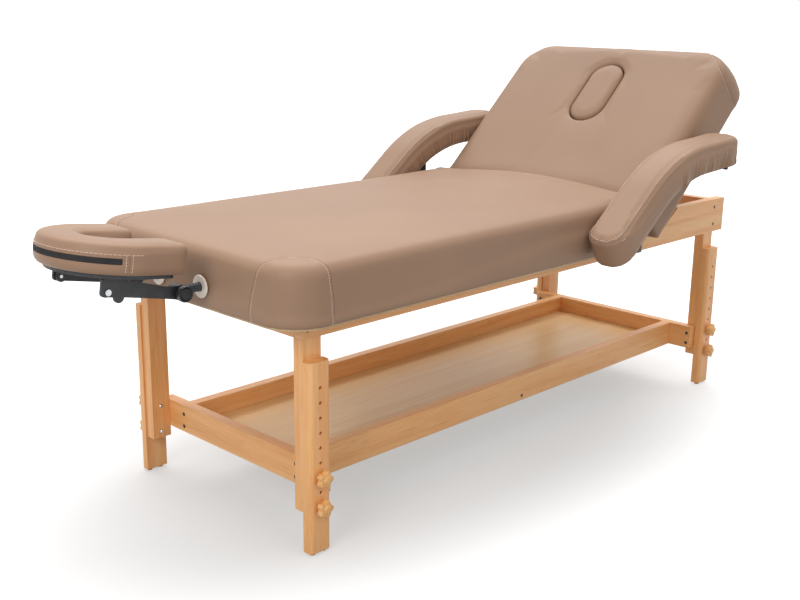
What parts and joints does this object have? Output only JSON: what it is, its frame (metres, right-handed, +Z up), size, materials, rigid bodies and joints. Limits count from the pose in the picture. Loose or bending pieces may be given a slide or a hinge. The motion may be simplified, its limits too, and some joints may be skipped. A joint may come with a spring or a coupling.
{
  "type": "massage table",
  "caption": "Wooden massage table with a padded bed, lifting backrest with breath hole, bent padded armrests, face cradle, shelf and height-adjusting legs.",
  "frame": {"origin": "middle of the table's footprint box, on the floor", "axes": "+X along the table towards the backrest, +Y to the far side, +Z up"},
  "size_m": [2.1527, 0.998, 1.0432],
  "materials": {
    "beech": "clear lacquered beech, straight grain",
    "veneer": "satin veneered panel",
    "knob_wood": "pale smooth knob, satin",
    "board": "plain plywood",
    "vinyl": "matte taupe upholstery vinyl, fine grain",
    "black_steel": "black powder coat",
    "bright_steel": "zinc plated steel",
    "black_plastic": "black moulded plastic",
    "white_plastic": "off-white moulded plastic"
  },
  "bodies": {
    "frame": {"side_rail_near": "beech", "side_rail_far": "beech", "end_rail_foot": "beech", "end_rail_head": "beech", "inner_post_foot_near": "beech", "inner_post_foot_far": "beech", "inner_post_head_near": "beech", "inner_post_head_far": "beech", "shelf_cross_rail_foot": "beech", "shelf_cross_rail_head": "beech", "tray_rail_near": "beech", "tray_rail_far": "beech", "tray_panel": "veneer", "mattress": "vinyl", "mattress_base": "board", "grommet_near": "white_plastic", "grommet_far": "white_plastic", "hinge_leaf_near": "black_steel", "hinge_leaf_far": "black_steel", "rack_near": "beech", "rack_far": "beech"},
    "leg_foot_near": {"outer_post_foot_near": "beech"},
    "leg_foot_far": {"outer_post_foot_far": "beech"},
    "leg_head_near": {"outer_post_head_near": "beech"},
    "leg_head_far": {"outer_post_head_far": "beech"},
    "knob_foot_near_upper": {"knob_foot_near_upper": "knob_wood"},
    "knob_foot_near_lower": {"knob_foot_near_lower": "knob_wood"},
    "knob_foot_far_upper": {"knob_foot_far_upper": "knob_wood"},
    "knob_foot_far_lower": {"knob_foot_far_lower": "knob_wood"},
    "knob_head_near_upper": {"knob_head_near_upper": "knob_wood"},
    "knob_head_near_lower": {"knob_head_near_lower": "knob_wood"},
    "knob_head_far_upper": {"knob_head_far_upper": "knob_wood"},
    "knob_head_far_lower": {"knob_head_far_lower": "knob_wood"},
    "backrest": {"backrest_pad": "vinyl", "backrest_board": "board", "backrest_skirt": "vinyl", "hinge_arm_near": "black_steel", "hinge_arm_far": "black_steel"},
    "prop": {"prop_arm_near": "beech", "prop_arm_far": "beech", "prop_pivot_rod": "bright_steel", "prop_foot_bar": "bright_steel"},
    "breath_plug": {"breath_plug": "vinyl"},
    "armrest_near": {"armrest_pad_near": "vinyl", "armrest_board_near": "board", "armrest_bracket_near": "black_steel"},
    "armrest_far": {"armrest_pad_far": "vinyl", "armrest_board_far": "board", "armrest_bracket_far": "black_steel"},
    "cradle_slide": {"cradle_rod_near": "black_steel", "cradle_rod_far": "black_steel"},
    "cradle_arms": {"cradle_arm_near": "black_plastic", "cradle_arm_far": "black_plastic", "cradle_tilt_bolt_near": "bright_steel", "cradle_tilt_bolt_far": "bright_steel"},
    "cradle_head": {"cradle_plate": "black_plastic", "cradle_cushion": "vinyl"},
    "cradle_knob_near": {"cradle_knob_near": "black_plastic"},
    "cradle_knob_far": {"cradle_knob_far": "black_plastic"}
  },
  "joints": [
    {"name": "leg_foot_near_height", "type": "slide", "parent": "frame", "child": "leg_foot_near", "axis": [0, 0, -1], "range_m": [0, 0.2052]},
    {"name": "leg_foot_far_height", "type": "slide", "parent": "frame", "child": "leg_foot_far", "axis": [0, 0, -1], "range_m": [0, 0.2052]},
    {"name": "leg_head_near_height", "type": "slide", "parent": "frame", "child": "leg_head_near", "axis": [0, 0, -1], "range_m": [0, 0.2052]},
    {"name": "leg_head_far_height", "type": "slide", "parent": "frame", "child": "leg_head_far", "axis": [0, 0, -1], "range_m": [0, 0.2052]},
    {"name": "knob_foot_near_upper_turn", "type": "hinge", "parent": "frame", "child": "knob_foot_near_upper", "pos_m": [-0.63888, -0.331, 0.1808], "axis": [0, 1, 0], "continuous": true},
    {"name": "knob_foot_near_lower_turn", "type": "hinge", "parent": "frame", "child": "knob_foot_near_lower", "pos_m": [-0.63888, -0.331, 0.1124], "axis": [0, 1, 0], "continuous": true},
    {"name": "knob_foot_far_upper_turn", "type": "hinge", "parent": "frame", "child": "knob_foot_far_upper", "pos_m": [-0.63888, 0.331, 0.1808], "axis": [0, 1, 0], "continuous": true},
    {"name": "knob_foot_far_lower_turn", "type": "hinge", "parent": "frame", "child": "knob_foot_far_lower", "pos_m": [-0.63888, 0.331, 0.1124], "axis": [0, 1, 0], "continuous": true},
    {"name": "knob_head_near_upper_turn", "type": "hinge", "parent": "frame", "child": "knob_head_near_upper", "pos_m": [0.99612, -0.331, 0.1808], "axis": [0, 1, 0], "continuous": true},
    {"name": "knob_head_near_lower_turn", "type": "hinge", "parent": "frame", "child": "knob_head_near_lower", "pos_m": [0.99612, -0.331, 0.1124], "axis": [0, 1, 0], "continuous": true},
    {"name": "knob_head_far_upper_turn", "type": "hinge", "parent": "frame", "child": "knob_head_far_upper", "pos_m": [0.99612, 0.331, 0.1808], "axis": [0, 1, 0], "continuous": true},
    {"name": "knob_head_far_lower_turn", "type": "hinge", "parent": "frame", "child": "knob_head_far_lower", "pos_m": [0.99612, 0.331, 0.1124], "axis": [0, 1, 0], "continuous": true},
    {"name": "backrest_hinge", "type": "hinge", "parent": "frame", "child": "backrest", "pos_m": [0.53162, 0, 0.636], "axis": [0, -1, 0], "range_deg": [-42.5, 30]},
    {"name": "prop_hinge", "type": "hinge", "parent": "backrest", "child": "prop", "pos_m": [0.6868, 0, 0.68868], "axis": [0, -1, 0], "range_deg": [-48, 68]},
    {"name": "breath_plug_lift", "type": "slide", "parent": "backrest", "child": "breath_plug", "axis": [-0.6756, 0, 0.7373], "range_m": [0, 0.08]},
    {"name": "armrest_near_pull", "type": "slide", "parent": "frame", "child": "armrest_near", "axis": [0, -1, 0], "range_m": [0, 0.06]},
    {"name": "armrest_far_pull", "type": "slide", "parent": "frame", "child": "armrest_far", "axis": [0, 1, 0], "range_m": [0, 0.06]},
    {"name": "cradle_extend", "type": "slide", "parent": "frame", "child": "cradle_slide", "axis": [-1, 0, 0], "range_m": [-0.01, 0.09]},
    {"name": "cradle_lift", "type": "hinge", "parent": "cradle_slide", "child": "cradle_arms", "pos_m": [-0.81838, 0, 0.5803], "axis": [0, 1, 0], "range_deg": [-35, 20]},
    {"name": "cradle_tilt", "type": "hinge", "parent": "cradle_arms", "child": "cradle_head", "pos_m": [-0.98963, 0, 0.61111], "axis": [0, -1, 0], "range_deg": [-2.5, 27.5]},
    {"name": "cradle_knob_near_turn", "type": "hinge", "parent": "cradle_slide", "child": "cradle_knob_near", "pos_m": [-0.81838, -0.0963, 0.5803], "axis": [0, 1, 0], "continuous": true},
    {"name": "cradle_knob_far_turn", "type": "hinge", "parent": "cradle_slide", "child": "cradle_knob_far", "pos_m": [-0.81838, 0.0963, 0.5803], "axis": [0, 1, 0], "continuous": true}
  ],
  "couplings": [
    {"joint": "prop_hinge", "follows": "backrest_hinge", "ratio": -1.59}
  ]
}
